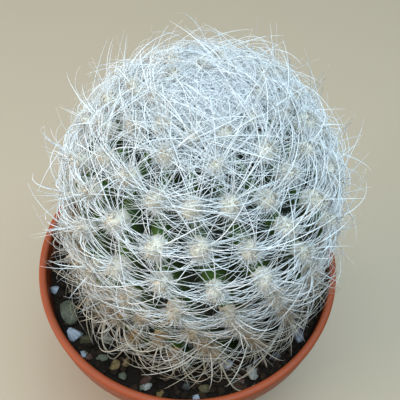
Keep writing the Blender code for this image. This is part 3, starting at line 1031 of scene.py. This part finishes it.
UPWARD = math.pi / 2
FINE = (0.075 * MM, 0.13 * MM)
STOUT = (0.11 * MM, 0.19 * MM)
build_centrals("centrals_crown", crown_band, 9, (10 * MM, 19 * MM), 36, UPWARD, HAIR)
build_centrals("centrals_middle", middle_band, 3, (11 * MM, 20 * MM), 36, UPWARD, FINE)
build_centrals("centrals_lower", lower_band, 3, (13 * MM, 24 * MM), 40, -UPWARD, STOUT)
build_centrals("beard", lower_band, 4, (12 * MM, 24 * MM), 50, -UPWARD, FINE, (-0.2, 0.5),
               0.4, 1.0, 0.34)
everywhere = np.arange(AREOLES)
build_centrals("strays", everywhere, 4, (8 * MM, 19 * MM), 54, UPWARD, HAIR, (0.3, 1.0),
               0.2, 0.9, sides=3, rings=9)

# %% [markdown]
# ## The crown
#
# At the growing point the youngest areoles crowd together, and their spines lie over each
# other in a felted white cap. They start within a few millimetres of the axis and fall
# outward in all directions. In the photograph the cap is closest behind the growing point,
# so the roots crowd toward the back.

# %% The felted cap
CAP_RADIUS = 9 * MM
CAP_RINGS = 8


def build_crown(name, count):
    """Fine spines from round the growing point, folded over the top."""
    distance = uniform(0.001, 1, count) ** 0.75 * CAP_RADIUS
    angle = uniform(0, math.tau, count)
    angle += 0.55 * np.cos(angle)
    point, out, side, up = outline.frame(distance, angle, 1.0 * MM)
    turn = uniform(0, math.tau, count)
    ahead = side * np.cos(turn)[:, None] + up * np.sin(turn)[:, None]
    length = uniform(6 * MM, 12 * MM, count)
    rise = np.radians(np.clip(rng.normal(28, 14, count), 6, 70))
    paths = spine_paths(point, out, ahead, length, rise, uniform(0.0, 0.2, count),
                        rng.normal(0, 0.08, count), np.abs(rng.normal(0, 0.02, count)), 0.8)
    radii = taper(uniform(*SILK, count), CAP_RINGS, 0.2, 1.6)
    paths = settle_paths(paths, uniform(0.84, 0.97, count), CAP_RINGS)
    mesh = needle_mesh(name, paths, radii,
                       {"age": distance / outline.length, "tone": uniform(0.2, 1, count)})
    add_piece(name, mesh, radial_white, "spines")


build_crown("crown_felt", 1350)

# %% [markdown]
# ## Wool
#
# The areoles themselves are tufts of short cream wool, drawn up into a blunt mound by the
# spines that stand in them. A rough cushion fills each one, and 160 short fibres standing
# on it give it its brushed look. A fringe of finer white hairs leans out round it, so that
# it has no hard edge. Old tufts are tan. A hair that is seen as thin as this needs no
# bends: it is a straight three-sided needle of eight triangles.

# %% The wool's finish
def wool_finish():
    """Cream felt, tan with age and darker at its foot."""
    finish = Finish("areole_wool")
    age, tone, along = [finish.attribute(key) for key in ("age", "tone", "along")]
    edge = finish.attribute("edge")
    cream = finish.mix(tone, colour(216, 203, 180), colour(237, 230, 216))
    young = finish.mix(finish.span(edge, 0.35, 0.8), cream, colour(242, 244, 244))
    old = finish.mix(tone, colour(158, 124, 76), colour(200, 173, 128))
    body = finish.mix(finish.span(age, 0.44, 0.72), young, old)
    finish.feed("Base Color", finish.mix(finish.span(along, 0.4, 0.0) * 0.3, body,
                                         colour(190, 160, 114)))
    finish.feed("Roughness", 0.85)
    finish.feed("Sheen Weight", 0.3)
    finish.bump(finish.noise(2600.0, 4.0, 0.7), 0.0002)
    return finish.material

# %% Cushions
wool = wool_finish()
young_share = np.clip(0.7 + areole_distance / (45 * MM), 0, 1)
young_share *= 1.0 - 0.15 * np.clip((areole_age - 0.55) / 0.35, 0, 1)
young_share *= uniform(0.84, 1.06, AREOLES)
MOUND_RADIUS = 1.65 * MM
MOUND_HEIGHT = 2.6 * MM


def build_cushions():
    """A rough mound under each tuft."""
    places = []
    for i in range(AREOLES):
        turn = Matrix((side_dir[i], up_dir[i], out_dir[i])).transposed().to_4x4()
        wide = MOUND_RADIUS * young_share[i]
        size = Matrix.Diagonal((wide, 1.1 * wide, MOUND_HEIGHT * young_share[i], 1.0))
        places.append(Matrix.Translation(foot[i]) @ turn @ size)
    mesh = scatter("wool_cushions", lump(2, 0.3, 9.0), places,
                   {"age": areole_age, "tone": uniform(0.2, 0.8, AREOLES),
                    "along": np.full(AREOLES, 0.5), "edge": np.full(AREOLES, 0.3)})
    add_piece("wool_cushions", mesh, wool, "spines")


build_cushions()

# %% Fibres and fringe
def build_tufts(name, each, edges, lengths, flare, widths, rings, finish):
    """Short fibres standing all over the mounds, upright on top and spread at the edge."""
    index = np.repeat(everywhere, each)
    count = len(index)
    ahead = ahead_of(index, uniform(0, math.tau, count))
    edge = np.sqrt(uniform(edges[0] ** 2, edges[1] ** 2, count))
    lean = edge * math.pi / 2
    share = young_share[index]
    aside = ahead * (0.9 * MOUND_RADIUS * share * np.sin(lean))[:, None]
    height = out_dir[index] * (0.9 * MOUND_HEIGHT * share * np.cos(lean))[:, None]
    length = uniform(*lengths, count) * (0.4 + 0.6 * share)
    rise = math.pi / 2 - flare * lean + rng.normal(0, 0.18, count)
    paths = spine_paths(foot[index] + aside + height, out_dir[index], ahead, length, rise,
                        0.85 * np.sin(rise), rng.normal(0, 0.1, count), np.zeros(count), 0.0)
    radii = taper(uniform(*widths, count), rings, 0.3, 2.0)
    mesh = needle_mesh(name, trim(paths, np.ones(count), rings), radii,
                       {"age": areole_age[index], "tone": uniform(0, 1, count), "edge": edge})
    add_piece(name, mesh, finish, "spines")


build_tufts("wool_fibres", 160, (0.0, 0.9), (0.6 * MM, 1.4 * MM), 0.9,
            (0.04 * MM, 0.07 * MM), 2, wool)
build_tufts("wool_fringe", 165, (0.15, 0.95), (0.9 * MM, 2.3 * MM), 0.85,
            (0.02 * MM, 0.036 * MM), 2, radial_white)

# %% [markdown]
# ## Floor, light and camera
#
# The plant stands on a plain pale floor. A broad cool light hangs over it, as from a
# window in the roof, and a weaker warm one fills in from the left. The camera looks down at
# about 56 degrees from close by, as in the photograph: its place follows from the pixel
# where the middle of the rim lies.

# %% The floor
def build_floor():
    """A wide pale sheet under the pot."""
    bm = bmesh.new()
    bmesh.ops.create_grid(bm, x_segments=1, y_segments=1, size=1.5)
    floor = put("floor", mesh_from(bm, "floor"))
    finish = Finish("pale_floor")
    finish.feed("Base Color", colour(184, 166, 142))
    finish.feed("Roughness", 0.7)
    floor.data.materials.append(finish.material)


build_floor()

# %% The lights
def add_light(name, place, aim, size, power, shade):
    """A square area light aimed at a point."""
    data = bpy.data.lights.new(name, "AREA")
    data.shape = "SQUARE"
    data.size = size
    data.energy = power
    data.color = shade
    light = put(name, data)
    light.location = place
    direction = Vector(aim) - Vector(place)
    light.rotation_euler = direction.to_track_quat("-Z", "Y").to_euler()
    print("%s light: %.1f W, %.2f m wide" % (name, power, size))


PLANT_MIDDLE = (PLANT_X, 0.0, STEM_MIDDLE)
add_light("window", (0.04, -0.05, 0.60), PLANT_MIDDLE, 0.45, 4.9, (0.65, 0.86, 1.0))
add_light("room", (-0.45, -0.14, 0.24), PLANT_MIDDLE, 0.35, 1.9, (1.0, 0.86, 0.70))
world = bpy.data.worlds.new("soft_sky")
world.use_nodes = True
sky = world.node_tree.nodes["Background"]
sky.inputs["Color"].default_value = (0.88, 0.94, 1.0, 1.0)
sky.inputs["Strength"].default_value = 0.17
bpy.context.scene.world = world
bpy.context.scene.view_settings.view_transform = "Standard"

# %% The camera
PHOTO_SIDE = 400
FOCAL_PIXELS = 640.0
RIM_PIXEL = (188.6, 257.3)
DISTANCE = 141.2 * MM
LOOK_DOWN = math.radians(56.5)
ROLL = math.radians(3.0)


def build_camera():
    """Places the camera so that the rim's middle falls on its pixel of the photograph."""
    forward = Vector((0.0, math.cos(LOOK_DOWN), -math.sin(LOOK_DOWN)))
    level = Vector((1.0, 0.0, 0.0))
    upright = level.cross(forward)
    right = level * math.cos(ROLL) + upright * math.sin(ROLL)
    up = upright * math.cos(ROLL) - level * math.sin(ROLL)
    across = (RIM_PIXEL[0] - PHOTO_SIDE / 2) / FOCAL_PIXELS
    down = (RIM_PIXEL[1] - PHOTO_SIDE / 2) / FOCAL_PIXELS
    ray = (forward + right * across - up * down).normalized()
    data = bpy.data.cameras.new("camera")
    data.sensor_width = 36.0
    data.lens = data.sensor_width * FOCAL_PIXELS / PHOTO_SIDE
    data.clip_start = 0.005
    camera = put("camera", data)
    place = Matrix((right, up, -forward)).transposed().to_4x4()
    place.translation = Vector((0.0, 0.0, RIM_Z)) - ray * DISTANCE
    camera.matrix_world = place
    bpy.context.scene.camera = camera
    print("camera: %.1f mm lens, %.1f mm from the rim's middle" % (data.lens, DISTANCE / MM))


build_camera()
